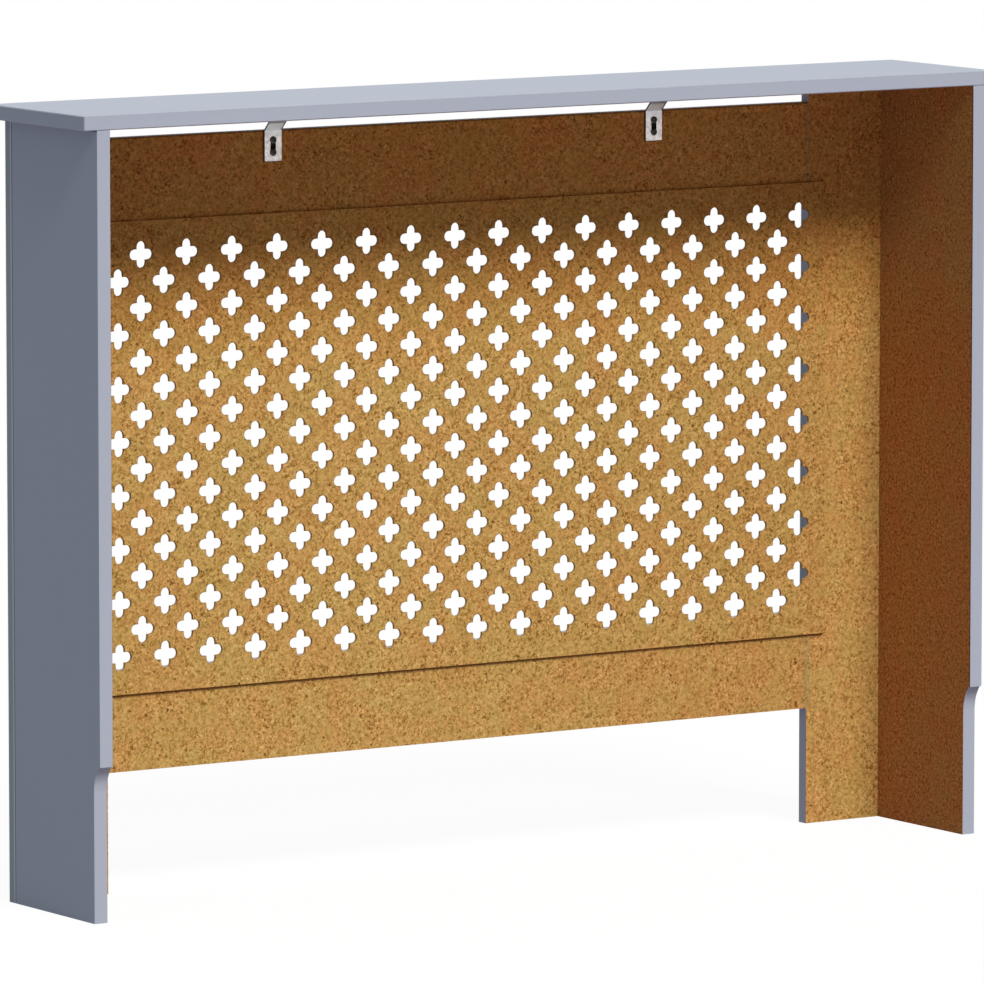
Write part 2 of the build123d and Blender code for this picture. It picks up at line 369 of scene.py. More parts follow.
# %% Colour and height of the paint
PAINT_BLUE = rgb(0.448, 0.487, 0.578)
PAINT_WORN = rgb(0.461, 0.499, 0.587)
PAINT_CLOUDS = (0.35, 0.65, 0.0, 0.5)
STIPPLE_SIZE = 0.9 * MM
CLOUD_SIZE = 120.0 * MM
print(f"paint stipple {STIPPLE_SIZE / MM} mm, clouds {CLOUD_SIZE / MM} mm")


def paint(tree, place):
    """Colour and height of the sprayed paint at a place in metres."""
    clouds = noise(tree, place, CLOUD_SIZE, detail=2.0)
    colour = mix_colours(tree, ramp(tree, clouds, *PAINT_CLOUDS), PAINT_BLUE, PAINT_WORN)
    return colour, noise(tree, place, STIPPLE_SIZE, detail=1.0)


# %% [markdown]
# ## Boards that are painted outside and bare inside
#
# Each board carries both finishes, so one material has to know which face it is on. The faces of a
# board are told apart by where they lie: the bare face of a stile is its back plane, the bare face
# of a side is the plane that looks into the cover. A mask that compares the place with that plane
# ends the paint exactly on the edge of the board, as a sprayer's masking does.

# %% One material for each kind of board
PAINT_ROUGHNESS = 0.62
BOARD_ROUGHNESS = 0.85
SHINE = 0.15
STIPPLE_SHARE = 0.25
BUMP = {"Strength": 0.25, "Distance": 0.2 * MM}


def matt_finish(tree, shader, colour, height):
    """Sends a colour and a height to a shader that shines only a little."""
    tree.links.new(colour, shader.inputs["Base Color"])
    shader.inputs["Specular IOR Level"].default_value = SHINE
    bump = add_node(tree, "ShaderNodeBump", {"Height": height, **BUMP})
    tree.links.new(bump.outputs[0], shader.inputs["Normal"])


def board_material(name, bare_mask, marks=(), tints=PLAIN_TINTS):
    """Paint and bare board on one piece. A mark is a mask, its colour and its strength."""
    material, tree, shader, place = new_material(name)
    axes = axes_of(tree, place)
    is_bare = bare_mask(tree, axes)
    bare_colour, bare_height = bare_board(tree, place, tints)
    paint_colour, paint_height = paint(tree, place)
    colour = mix_colours(tree, is_bare, paint_colour, bare_colour)
    for mark_mask, mark_colour, strength in marks:
        amount = both(tree, mark_mask(tree, axes), strength)
        colour = mix_colours(tree, amount, colour, mark_colour)
    roughness = ramp(tree, is_bare, 0.0, 1.0, PAINT_ROUGHNESS, BOARD_ROUGHNESS)
    tree.links.new(roughness, shader.inputs["Roughness"])
    bare_part = both(tree, bare_height, is_bare)
    paint_part = both(tree, paint_height, STIPPLE_SHARE)
    matt_finish(tree, shader, colour, math_node(tree, "ADD", bare_part, paint_part))
    return material


# %% Which face of a board is bare
EDGE_OF_MASK = 0.15 * MM
back = (frame_back_y - EDGE_OF_MASK, FAR)
inside = (0.0, inner_face_x + EDGE_OF_MASK)
bare_back = part_within(depth=back)
bare_inner_face = part_within(inside)
bare_underside = part_within(inside, (frame_back_y, FAR), (0.0, shelf_under_z + EDGE_OF_MASK))
print(f"masks end {EDGE_OF_MASK / MM} mm past a face")

# %% [markdown]
# Boards meet in lines, and the eye reads the joinery from them. Each line is a thin box: the glue
# line between a side and its stile, the line under the shelf, and a painted shadow in the seam
# under the grille panel. The outer faces and the shelf's cut ends are boxes too, with a bluer grey
# as painted shade, since the high light from behind doesn't reach them. Only the filler that is
# wiped over the butt joints of the frame fades out, so its mask has a ramp.

# %% Joints between the boards
DARK_LINE_BROWN = rgb(0.060, 0.026, 0.008)
JOINT_FILLER = rgb(0.190, 0.250, 0.115)
JOINT_BLUE = rgb(0.105, 0.112, 0.125)
# Painted shade: a bluer grey for the outer faces and the shelf's ends
SHADED_OUTSIDE_BLUE = rgb(0.420, 0.492, 0.590)
EDGE_GREY = rgb(0.340, 0.411, 0.460)
FILLER_BAND = (2.0 * MM, 6.5 * MM)      # full as far as the first, gone at the second
GLUE_LINE_HALF = 0.55 * MM
SHELF_LINE = 1.5 * MM
SEAM_HALF = 0.6 * MM

outside = (-side_low[0] - EDGE_OF_MASK, FAR)
outsides = part_within(outside)
side_joints = part_within(outside, about(frame_back_y, GLUE_LINE_HALF))
shelf_joints = part_within(outside, height=(shelf_under_z - SHELF_LINE, FAR))
shelf_ends = part_within((shelf_high[0] - EDGE_OF_MASK, FAR))
# A painted shadow on the frame just under the grille panel's lower edge
panel_seam_shadow = part_within((0.0, grille_high[0]), height=about(grille_low[2], SEAM_HALF))
print(f"glue lines {2 * GLUE_LINE_HALF / MM:.1f} mm, seam {2 * SEAM_HALF / MM:.1f} mm")


def rail_joints(tree, axes):
    """The filler wiped over the butt joints of rails and stiles, as high as the rails are."""
    rails = ((rail_low, rail_high), (lower_rail_low, lower_rail_high))
    at_top, at_bottom = (part_within(height=(low[2], high[2]))(tree, axes) for low, high in rails)
    from_joint = math_node(tree, "SUBTRACT", from_middle(tree, axes), opening_half)
    filled = ramp(tree, math_node(tree, "ABSOLUTE", from_joint), *FILLER_BAND, 1.0, 0.0)
    return both(tree, filled, either(tree, at_top, at_bottom))


# %% [markdown]
# Corners show as lines too. A painted highlight runs along each stile's edge beside its joint,
# and a painted shade dulls the shelf's chamfered upper corners, which face the light. The top
# rail's upper corner carries a painted shade, and the sides' bare inner faces are darker along
# their rear edges.

# %% Painted highlight, painted shade and dark lines along corners
PAINTED_EDGE_HIGHLIGHT = rgb(0.600, 0.700, 0.790)
SHADED_CORNER_BLUE = rgb(0.330, 0.358, 0.425)
HIGHLIGHT_MIDDLE = 2.2 * MM                 # in front of the frame's back
HIGHLIGHT_HALF = 1.3 * MM
SHELF_SHADE_BAND = 1.2 * MM
SHELF_END_SHADE_BAND = 0.8 * MM
RAIL_SHADE_BAND = 1.6 * MM
SIDE_DARK_BAND = 1.8 * MM

rear_shade_y = shelf_high[1] - SHELF_SHADE_BAND
top_shade = (shelf_high[2] - SHELF_SHADE_BAND, FAR)
end_shade = (shelf_high[0] - SHELF_END_SHADE_BAND, FAR)
# Painted shade on the shelf's chamfered upper corners, which face the sun
shelf_rear_corner = part_within(depth=(rear_shade_y, FAR), height=top_shade)
shelf_end_corners = part_within(end_shade, (-FAR, rear_shade_y), top_shade)
# A painted highlight along each stile's edge, just in front of its joint
stile_highlight = part_within(outside, about(frame_back_y - HIGHLIGHT_MIDDLE, HIGHLIGHT_HALF))
# Painted shade along the top rail's upper corner, under the shelf
rail_top_shade = part_within(height=(rail_high[2] - RAIL_SHADE_BAND, FAR))
# A dark line along the rear edge of each side's bare inner face
rear_dark_line = part_within(inside, (side_high[1] - SIDE_DARK_BAND, FAR))
print("rubbed corners in mm:", [round(rub / MM, 1) for rub in (SHELF_SHADE_BAND, RAIL_SHADE_BAND, SIDE_DARK_BAND)])

# %% [markdown]
# A bracket stands on the top rail. A painted shade darkens the board just round its leg, and the
# board that shows through its slot gets a painted shade so deep that it is almost black.

# %% Painted shade round and behind the brackets
SLOT_SHADE_BLACK = rgb(0.014, 0.016, 0.009)
SLOT_SIZE = (6.4 * MM, 19.0 * MM)
SLOT_MIDDLE = 15.5 * MM
SLOT_MARGIN = 1.0 * MM
LEG_SHADE_WIDTH = 1.3 * MM

bracket_x = (bracket_low[0] + bracket_high[0]) / 2
behind_slot = about(bracket_x, SLOT_SIZE[0] / 2 + SLOT_MARGIN)
slot_height = about(bracket_low[2] + SLOT_MIDDLE, SLOT_SIZE[1] / 2 + SLOT_MARGIN)
# Painted shade on the board behind each slot and round each leg
slot_shade = part_within(behind_slot, back, slot_height)
behind_leg = (bracket_low[0] - LEG_SHADE_WIDTH, bracket_high[0] + LEG_SHADE_WIDTH)
leg_shade = part_within(behind_leg, back, (bracket_low[2] - LEG_SHADE_WIDTH, rail_high[2] + LEG_SHADE_WIDTH))
print(f"brackets {bracket_x:.4f} m from the middle, slots {SLOT_SIZE[1] / MM} mm long")

# %% [markdown]
# The stiles and the top rail have the plain brown, and a painted shade makes it warmer towards
# the top, where the shelf's shadow falls. The bottom rail is a little yellower at its right end
# and browner at its left. The sides get a redder, darker brown as painted shade, less so towards
# the top.

# %% Dress the boards
RAIL_TINTS = (rgb(1.010, 1.045, 1.055), rgb(0.965, 0.915, 0.905), WHITE)
# Painted shade: the sides' bare inner faces get a redder, darker brown, less so towards the top
SIDE_SHADE_BROWN = rgb(0.830, 0.630, 0.625)
SIDE_TINTS = (SIDE_SHADE_BROWN, SIDE_SHADE_BROWN, rgb(1.0, 1.160, 1.260))

joint_marks = [(side_joints, JOINT_BLUE, 1.0), (shelf_joints, JOINT_BLUE, 0.8)]
frame_marks = [(rail_joints, JOINT_FILLER, 0.25), (panel_seam_shadow, DARK_LINE_BROWN, 0.4)]
rail_marks = [
    (rail_top_shade, DARK_LINE_BROWN, 0.6),
    (leg_shade, DARK_LINE_BROWN, 0.55),
    (slot_shade, SLOT_SHADE_BLACK, 0.92),
]
stile_marks = [(outsides, EDGE_GREY, 1.0), (stile_highlight, PAINTED_EDGE_HIGHLIGHT, 0.8)] + joint_marks
side_marks = [(outsides, SHADED_OUTSIDE_BLUE, 1.0), (rear_dark_line, DARK_LINE_BROWN, 0.7)] + joint_marks
shelf_marks = [
    (shelf_ends, SHADED_OUTSIDE_BLUE, 1.0),
    (shelf_rear_corner, SHADED_CORNER_BLUE, 0.9),
    (shelf_end_corners, SHADED_CORNER_BLUE, 0.9),
]


def dress(node_name, material):
    """Gives a board of the model its finish."""
    board = nodes[node_name]
    if not board.material_slots:
        board.data.materials.append(None)
    for slot in board.material_slots:
        slot.material = material


dress("top_shelf", board_material("shelf_board", bare_underside, shelf_marks))
dress("top_rail", board_material("top_rail_board", bare_back, frame_marks + rail_marks))
dress("bottom_rail", board_material("bottom_rail_board", bare_back, frame_marks, RAIL_TINTS))
stile_finish = board_material("stile_board", bare_back, frame_marks + stile_marks)
side_finish = board_material("side_board", bare_inner_face, side_marks, SIDE_TINTS)
for hand in HANDS:
    dress(f"{hand}_front_stile", stile_finish)
    dress(f"{hand}_side_panel", side_finish)
print("boards dressed with paint outside and bare board inside")


# %% [markdown]
# ## The biscuits inside the joints
#
# Flat slips of pressed beech hold the boards to each other. They are glued out of sight, so a
# plain beech with its grain and a few darker rays is all they need.

# %% Pressed beech
BEECH = rgb(0.560, 0.370, 0.210)
BEECH_RAY = rgb(0.360, 0.200, 0.100)
RAY_SIZE = 3.0 * MM
RAY_SHAPE = (1.0, 1.0, 9.0)
RAYS = (0.45, 0.70)
BEECH_ROUGHNESS = 0.7


def beech_material():
    """Beech with fine grain lines and short darker rays."""
    material, tree, shader, place = new_material("pressed_beech")
    lines = noise(tree, stretched(tree, place, RAY_SHAPE), RAY_SIZE, detail=4.0)
    colour = mix_colours(tree, ramp(tree, lines, *RAYS), BEECH, BEECH_RAY)
    tree.links.new(colour, shader.inputs["Base Color"])
    shader.inputs["Roughness"].default_value = BEECH_ROUGHNESS
    return material


beech = beech_material()
biscuits = [f"{hand}_{joint}_biscuits" for hand in HANDS for joint in ("shelf", "stile", "rail")]
for node_name in biscuits:
    dress(node_name, beech)
print("groups of biscuits:", len(biscuits))

# %% [markdown]
# ## Meshes from arrays
#
# New pieces are surfaces worked out with numpy. Whatever the surface, the last step is the same:
# points that lie on top of each other are merged, the faces are turned to point outwards, and
# the piece gets its name, its material and the body it rides on. The solid it stands for is
# hidden.

# %% Turn arrays into a finished piece
SAME_PLACE = 1e-6
SHARP_ANGLE = math.radians(35)


def make_piece(name, points, faces, material, stands_for):
    """A closed mesh from an (n, 3) array of points in metres and a list of faces."""
    mesh = bpy.data.meshes.new(name)
    mesh.from_pydata(points.tolist(), [], faces)
    work = bmesh.new()
    work.from_mesh(mesh)
    bmesh.ops.remove_doubles(work, verts=work.verts, dist=SAME_PLACE)
    bmesh.ops.recalc_face_normals(work, faces=work.faces)
    open_edges = sum(not edge.is_manifold for edge in work.edges)
    work.to_mesh(mesh)
    work.free()
    mesh.shade_smooth()
    mesh.set_sharp_from_angle(angle=SHARP_ANGLE)
    mesh.materials.append(material)
    piece = add_object(name, mesh)
    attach(piece, "root")
    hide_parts(*stands_for)
    counts = f"{len(mesh.vertices)} points, {len(mesh.polygons)} faces"
    print(f"{name}: {counts}, {open_edges} open edges")
    return piece


def strip_quads(first, second):
    """Quads between closed rings of point numbers that run side by side, one ring in a row."""
    along = (first, np.roll(first, -1, axis=-1), np.roll(second, -1, axis=-1), second)
    return np.stack(along, axis=-1).reshape(-1, 4)


# %% [markdown]
# ## The grille
#
# The panel is a 3 mm sheet pierced with 256 four-lobed holes in a staggered pattern. Each lobe is
# a slot with a full round end, and the sheet is cut square where two lobes meet. A curve filled by
# Blender would work, but its long thin triangles shade badly. Here each place of the pattern is
# one small cell. Where a hole sits, the cell is a ring of quads between the hole's outline and the
# cell's edge, and where none sits it is a fan. The sides of a cell with a hole swell outwards to
# give the lobes room, and those of its neighbours give way by as much. So all cells share their
# edge points and join into one sheet.

# %% Outline of a hole and of its cell
PITCH_X = 27.25 * MM
PITCH_Z = 27.5 * MM
LOBE_RADIUS = 5.5 * MM
LOBE_REACH = 13.8 * MM
LOBE_POWER = 2.1
ARC_POINTS = 7
SWELL = 0.15
QUARTERS = np.arange(4)[:, None] * math.pi / 2


def four_quarters(quarter):
    """The same run of (x, z) points turned by 0, 90, 180 and 270 degrees, as one ring."""
    x, z = quarter[:, 0], quarter[:, 1]
    turned_x = np.cos(QUARTERS) * x - np.sin(QUARTERS) * z
    turned_z = np.sin(QUARTERS) * x + np.cos(QUARTERS) * z
    return np.stack([turned_x.ravel(), turned_z.ravel()], axis=1)


def lobed_outline():
    """A quarter is a square root corner, then half of a superellipse, which is a blunter circle.

    Its points are x = R * cos(t) ** (2 / n) and z = R * sin(t) ** (2 / n), with z's own sign.
    """
    turn = np.linspace(-math.pi / 2, math.pi / 2, ARC_POINTS)
    blunt = 2 / LOBE_POWER
    arc_x = LOBE_REACH - LOBE_RADIUS + LOBE_RADIUS * np.cos(turn).clip(0.0) ** blunt
    arc_z = LOBE_RADIUS * np.sign(turn) * np.abs(np.sin(turn)) ** blunt
    corner = [[LOBE_RADIUS, -LOBE_RADIUS]]
    return four_quarters(np.concatenate([corner, np.stack([arc_x, arc_z], axis=1)]))


def cell_outline(swell):
    """The cell's edge: four sides that rise by swell, like a roof, at their middles."""
    along = np.linspace(-1.0, 1.0, ARC_POINTS + 2)[:-1]
    side = np.stack([1 + swell * (1 - np.abs(along)), along], axis=1)
    return four_quarters(side) * (PITCH_X / 2, PITCH_Z / 2)


hole_ring = lobed_outline()
print("points round a hole:", len(hole_ring))

# %% [markdown]
# The pattern fills the opening of the frame, and the panel laps over the frame on all four sides.
# The lap is one more ring of quads, from the pattern's outer edge to the panel's rim.

# %% Lay the cells out
COLUMNS = round(2 * opening_half / PITCH_X)
ROWS = int((rail_low[2] - lower_rail_high[2]) / PITCH_Z)
print(f"{COLUMNS} columns and {ROWS} rows of cells")


def pattern_places():
    """Centres of all cells, and which of them hold a hole: every second one, like a chessboard."""
    column, row = (grid.ravel() for grid in np.meshgrid(np.arange(COLUMNS), np.arange(ROWS)))
    x = (column - (COLUMNS - 1) / 2) * PITCH_X
    z = opening_middle_z + (row - (ROWS - 1) / 2) * PITCH_Z
    return np.stack([x, z], axis=1), (column + row) % 2 == 1


def pattern_rim():
    """The pattern's outer edge, and the panel's rim with a point for each of its points."""
    low, high = grille_low[[0, 2]], grille_high[[0, 2]]
    steps = ARC_POINTS + 1
    edges, rims = [], []
    for count, turn in ((ROWS, 0), (COLUMNS, 1), (ROWS, 2), (COLUMNS, 3)):
        step = np.arange(count * steps)
        along = 2 * step / len(step) - 1
        in_cell = np.abs(2 * (step % steps) / steps - 1)
        has_hole = np.where((step // steps + turn) % 2 == 0, 1, -1)
        pitch = PITCH_X if turn % 2 == 0 else PITCH_Z
        rise = has_hole * SWELL * (1 - in_cell) * pitch / 2
        angle = turn * math.pi / 2
        outward = np.array([np.cos(angle), np.sin(angle)])
        sideways = np.array([-np.sin(angle), np.cos(angle)])
        square = outward + along[:, None] * sideways
        half_pattern = (COLUMNS * PITCH_X / 2, ROWS * PITCH_Z / 2)
        edges.append(square * half_pattern + (0.0, opening_middle_z) + rise[:, None] * outward)
        rims.append(square * (high - low) / 2 + (high + low) / 2)
    return np.concatenate(edges), np.concatenate(rims)


# %% Cut the sheet and give it its thickness
def copies_of(outline, places):
    """The points of an outline round each of the places."""
    return (places[:, None, :] + outline).reshape(-1, 2)


def grille_sheet():
    """Points (x, z) of one face of the panel, its faces, and the rings that its walls stand on."""
    places, has_hole = pattern_places()
    pierced, plain = places[has_hole], places[~has_hole]
    holes = copies_of(hole_ring, pierced)
    pierced_cells = copies_of(cell_outline(SWELL), pierced)
    plain_cells = copies_of(cell_outline(-SWELL), plain)
    parts = [holes, pierced_cells, plain_cells, plain, *pattern_rim()]
    starts = np.cumsum([0] + [len(part) for part in parts])
    _, cells_from, plain_from, middles_from, edge_from, rim_from, end = starts
    ring = np.arange(len(hole_ring))
    hole_rings = ring + len(ring) * np.arange(len(pierced))[:, None]
    plain_rings = ring + len(ring) * np.arange(len(plain))[:, None] + plain_from
    middles = np.broadcast_to(np.arange(middles_from, edge_from)[:, None], plain_rings.shape)
    fan = (middles, plain_rings, np.roll(plain_rings, -1, axis=1))
    rim_ring = np.arange(rim_from, end)
    quads = strip_quads(hole_rings, hole_rings + cells_from).tolist()
    fans = np.stack(fan, axis=2).reshape(-1, 3).tolist()
    lap = strip_quads(np.arange(edge_from, rim_from), rim_ring).tolist()
    return np.concatenate(parts), quads + fans + lap, [*hole_rings, rim_ring]


def sheet_of_thickness(flat, faces, rings, back_y, front_y):
    """Two copies of a flat sheet, at back_y and front_y, joined by walls along the rings."""
    count = len(flat)
    layers = [np.insert(flat, 1, y, axis=1) for y in (back_y, front_y)]
    walls = np.concatenate([strip_quads(ring, ring + count) for ring in rings])
    front_faces = [[number + count for number in reversed(face)] for face in faces]
    return np.concatenate(layers), faces + front_faces + walls.tolist()


# %% [markdown]
# The back of the panel is bare hardboard and its front is painted. The cut edges inside the holes
# are darker than either, because the cutter burnishes them, and so is a thin line round each hole.
# The finish is chosen by the face's own direction: back, front or wall. For the line, the node
# tree folds the sheet onto one quarter of a hole and measures how far the place is from its
# outline.

# %% Distance from the nearest hole
def from_slot(tree, along, aside):
    """The distance from a slot with round ends: length(max(along - L, 0), aside) - R."""
    past_end = math_node(tree, "SUBTRACT", along, LOBE_REACH - LOBE_RADIUS)
    past_end = math_node(tree, "MAXIMUM", past_end, 0.0)
    squares = [math_node(tree, "POWER", part, 2.0) for part in (past_end, aside)]
    length = math_node(tree, "SQRT", math_node(tree, "ADD", *squares))
    return math_node(tree, "SUBTRACT", length, LOBE_RADIUS)


def from_hole(tree, axes):
    """The distance from the nearest hole. Every hole is two slots that cross.

    Ping-pong folds a place onto 0 to one pitch from a hole's middle. One pitch less that is the
    place as the next hole on the diagonal sees it.
    """
    shifted_x = math_node(tree, "SUBTRACT", axes[0], PITCH_X / 2)
    shifted_z = math_node(tree, "SUBTRACT", axes[2], opening_middle_z - PITCH_Z / 2)
    folded_x = math_node(tree, "PINGPONG", shifted_x, PITCH_X)
    folded_z = math_node(tree, "PINGPONG", shifted_z, PITCH_Z)
    opposite_x = math_node(tree, "SUBTRACT", PITCH_X, folded_x)
    opposite_z = math_node(tree, "SUBTRACT", PITCH_Z, folded_z)
    nearest = 1.0
    for x, z in ((folded_x, folded_z), (opposite_x, opposite_z)):
        crossing = math_node(tree, "MINIMUM", from_slot(tree, x, z), from_slot(tree, z, x))
        nearest = math_node(tree, "MINIMUM", nearest, crossing)
    return nearest


# %% [markdown]
# The panel's left end is a little browner than its right. The lines round the holes end where the
# pattern does, a little inside the frame's opening. The panel's lower edge is planed at a slant,
# which keeps the dark seam under it narrow.

# %% Finish of the panel, and the panel itself
# The third tint is the painted shade under the shelf
PANEL_TINTS = (rgb(1.0, 1.050, 1.060), rgb(0.935, 0.940, 0.920), SHELF_SHADE_TINT)
CUT_BROWN = rgb(0.400, 0.260, 0.130)
SEAM_SHADE_BROWN = rgb(0.230, 0.090, 0.012)
RIM_BROWN = rgb(0.130, 0.065, 0.020)
RIM_WIDTH = 0.7 * MM
RIM_LINE = (0.3 * RIM_WIDTH, RIM_WIDTH, 0.45, 0.0)
HALF_TURNED = 0.5                       # a face counts for a side that it looks to more than this
PLANED_BACK = 1.6 * MM
PATTERN_MARGIN = 1.5 * MM

pattern_height = (lower_rail_high[2] + PATTERN_MARGIN, rail_low[2] - PATTERN_MARGIN)
in_pattern = part_within((0.0, opening_half - PATTERN_MARGIN), height=pattern_height)


def facing(tree):
    """The x, y and z of the direction that a face looks in."""
    return axes_of(tree, add_node(tree, "ShaderNodeTexCoord").outputs["Normal"])


def grille_material():
    """Bare at the back, painted in front, and dark on and beside the cut edges."""
    material, tree, shader, place = new_material("pierced_hardboard")
    axes = axes_of(tree, place)
    heading = facing(tree)
    bare_colour, bare_height = bare_board(tree, place, PANEL_TINTS)
    rim = both(tree, ramp(tree, from_hole(tree, axes), *RIM_LINE), in_pattern(tree, axes))
    bare_colour = mix_colours(tree, rim, bare_colour, RIM_BROWN)
    paint_colour, _ = paint(tree, place)
    is_front = short_of(tree, heading[1], -HALF_TURNED)
    is_back = beyond(tree, heading[1], HALF_TURNED)
    # Walls that face down get a darker brown as painted shade, which darkens the seam under the
    # panel
    faces_down = short_of(tree, heading[2], -HALF_TURNED)
    cut_colour = mix_colours(tree, faces_down, CUT_BROWN, SEAM_SHADE_BROWN)
    colour = mix_colours(tree, is_back, cut_colour, bare_colour)
    colour = mix_colours(tree, is_front, colour, paint_colour)
    shader.inputs["Roughness"].default_value = BOARD_ROUGHNESS
    matt_finish(tree, shader, colour, both(tree, bare_height, is_back))
    return material


hardboard = grille_material()
grille_points, grille_faces = sheet_of_thickness(*grille_sheet(), grille_high[1], grille_low[1])
on_back = np.isclose(grille_points[:, 1], grille_high[1])
at_lower_edge = np.isclose(grille_points[:, 2], grille_low[2])
grille_points[on_back & at_lower_edge, 2] += PLANED_BACK
solid = ["grille_panel"]
make_piece("pierced_panel", grille_points, grille_faces, hardboard, solid)


# %% [markdown]
# ## The shelf brackets
#
# Two bent strips of zinc-plated steel hold the top rail to the shelf. A real one is punched flat
# and then folded, and the mesh is made in the same order. The flat plan has s along the strip and
# w across it. Rows of quads fill it, and a ring of quads surrounds the slot and the screw hole.
# Then a function carries every s along the fold line, so the strip keeps its thickness round the
# bends.

# %% Fold line of a bracket
STRIP_WIDTH = bracket_high[0] - bracket_low[0]
STRIP_THICKNESS = 2.0 * MM
FOLD_RADIUS = 3.5 * MM
WEB_RUN = 24.0 * MM
EIGHTH_TURN = math.pi / 4
ARC_RUN = FOLD_RADIUS * EIGHTH_TURN

cut_back = FOLD_RADIUS * math.tan(EIGHTH_TURN / 2)
leg_run = rail_high[2] - bracket_low[2] - cut_back
web_run = math.hypot(WEB_RUN, shelf_under_z - rail_high[2]) - 2 * cut_back
flange_run = bracket_high[1] - frame_back_y - WEB_RUN - cut_back
second_fold = leg_run + ARC_RUN + web_run
strip_length = second_fold + ARC_RUN + flange_run
print(f"a bracket unfolds to {strip_length / MM:.1f} mm")


def folded(s, w, depth):
    """Carries a flat strip along straight, arc, straight, arc, straight, each arc an eighth turn.

    The turn at s is the length past the start of each arc over its radius, held from 0 to an
    eighth turn. depth goes to the strip's free side, square to its direction at s.
    """
    turn_one = np.clip((s - leg_run) / FOLD_RADIUS, 0.0, EIGHTH_TURN)
    turn_two = np.clip((s - second_fold) / FOLD_RADIUS, 0.0, EIGHTH_TURN)
    on_leg = np.clip(s, 0.0, leg_run)
    on_web = np.clip(s - leg_run - ARC_RUN, 0.0, web_run)
    on_flange = np.clip(s - second_fold - ARC_RUN, 0.0, None)
    slope = math.sin(EIGHTH_TURN)
    y = FOLD_RADIUS * (1 - np.cos(turn_one)) + slope * on_web + on_flange
    y = y + FOLD_RADIUS * (slope - np.cos(EIGHTH_TURN + turn_two))
    z = on_leg + FOLD_RADIUS * np.sin(turn_one) + slope * on_web
    z = z + FOLD_RADIUS * (np.sin(EIGHTH_TURN + turn_two) - slope)
    heading = turn_one + turn_two
    y = y + depth * np.cos(heading) + frame_back_y
    z = z - depth * np.sin(heading) + bracket_low[2]
    return np.stack([w, y, z], axis=1)


# %% [markdown]
# The ring round an opening pairs every point of the opening with one of its rectangle. The slot
# and the round hole come from one formula: a circle whose upper and lower halves are moved apart.

# %% Rows and rings of a bracket's flat plan
ACROSS = 9
STRIP_CORNER = 1.5 * MM
across = np.linspace(-1.0, 1.0, ACROSS)


def rows_of_strip(rows):
    """Points (s, w) of a grid of rows. Within a corner's radius of an end the row is shorter."""
    from_end = np.minimum(rows, strip_length - rows).clip(0.0, STRIP_CORNER)
    inset = STRIP_CORNER - np.sqrt(STRIP_CORNER**2 - (STRIP_CORNER - from_end) ** 2)
    half = STRIP_WIDTH / 2 - inset
    s, t = np.meshgrid(rows, across, indexing="ij")
    points = np.stack([s, t * half[:, None]], axis=2).reshape(-1, 2)
    number = np.arange(len(points)).reshape(len(rows), ACROSS)
    quad = (number[:-1, :-1], number[:-1, 1:], number[1:, 1:], number[1:, :-1])
    return points, np.stack(quad, axis=2).reshape(-1, 4)


def ring_about(size, middle, cell):
    """Points (s, w) and quads between an opening and the rectangle of the strip about it."""
    width, length = size
    turn = np.arange(2 * ACROSS + 2) * math.pi / (ACROSS + 1)
    apart = np.sign(np.round(np.sin(turn), 9)) * (length - width) / 2
    opening_s = middle + np.sin(turn) * width / 2 + apart
    opening_w = np.cos(turn) * width / 2
    far = np.ones(ACROSS)
    rectangle_s = middle + cell * np.concatenate([[0.0], far, [0.0], -far])
    rectangle_w = np.concatenate([[1.0], -across, [-1.0], across]) * STRIP_WIDTH / 2
    s = np.concatenate([opening_s, rectangle_s])
    w = np.concatenate([opening_w, rectangle_w])
    ring = np.arange(len(turn))
    return np.stack([s, w], axis=1), strip_quads(ring, ring + len(ring))


def joined(parts):
    """One set of points and quads from several, with points in the same place made one."""
    starts = np.cumsum([0] + [len(points) for points, _ in parts])
    points = np.concatenate([points for points, _ in parts])
    quads = np.concatenate([quads + start for (_, quads), start in zip(parts, starts)])
    rounded = np.round(points / MM, 4)
    _, first, same = np.unique(rounded, axis=0, return_index=True, return_inverse=True)
    return points[first], same.reshape(-1)[quads]


def rim_edges(quads):
    """The edges of a sheet that only one quad uses: its outer rim and the rims of its openings."""
    edges = np.stack([quads, np.roll(quads, -1, axis=1)], axis=2).reshape(-1, 2)
    either_way = np.sort(edges, axis=1)
    _, first, uses = np.unique(either_way, axis=0, return_index=True, return_counts=True)
    return edges[first[uses == 1]]


# %% Flat plan of a bracket
CORNER_ROWS = 6
BEND_ROWS = 7
SLOT_CELL = 12.0 * MM
HOLE_SIZE = (4.5 * MM, 4.5 * MM)
HOLE_MIDDLE = strip_length - 12.0 * MM
HOLE_CELL = 5.0 * MM


def bracket_sheet():
    """The flat plan: rounded end, slot, leg, bends, web, flange with its hole, rounded tip."""
    rounding = STRIP_CORNER * (1 - np.cos(np.linspace(0.0, math.pi / 2, CORNER_ROWS)))
    bend = np.linspace(0.0, ARC_RUN, BEND_ROWS)
    slot_end, hole_start = SLOT_MIDDLE + SLOT_CELL, HOLE_MIDDLE - HOLE_CELL
    foot = np.append(rounding, SLOT_MIDDLE - SLOT_CELL)
    middle = np.concatenate([[slot_end], bend + leg_run, bend + second_fold, [hole_start]])
    tip = np.append(HOLE_MIDDLE + HOLE_CELL, strip_length - rounding[::-1])
    slot = ring_about(SLOT_SIZE, SLOT_MIDDLE, SLOT_CELL)
    hole = ring_about(HOLE_SIZE, HOLE_MIDDLE, HOLE_CELL)
    return joined([rows_of_strip(rows) for rows in (foot, middle, tip)] + [slot, hole])


plan, plan_quads = bracket_sheet()
plan_rim = rim_edges(plan_quads)
print(f"flat plan: {len(plan)} points, {len(plan_quads)} quads, {len(plan_rim)} edges on its rims")


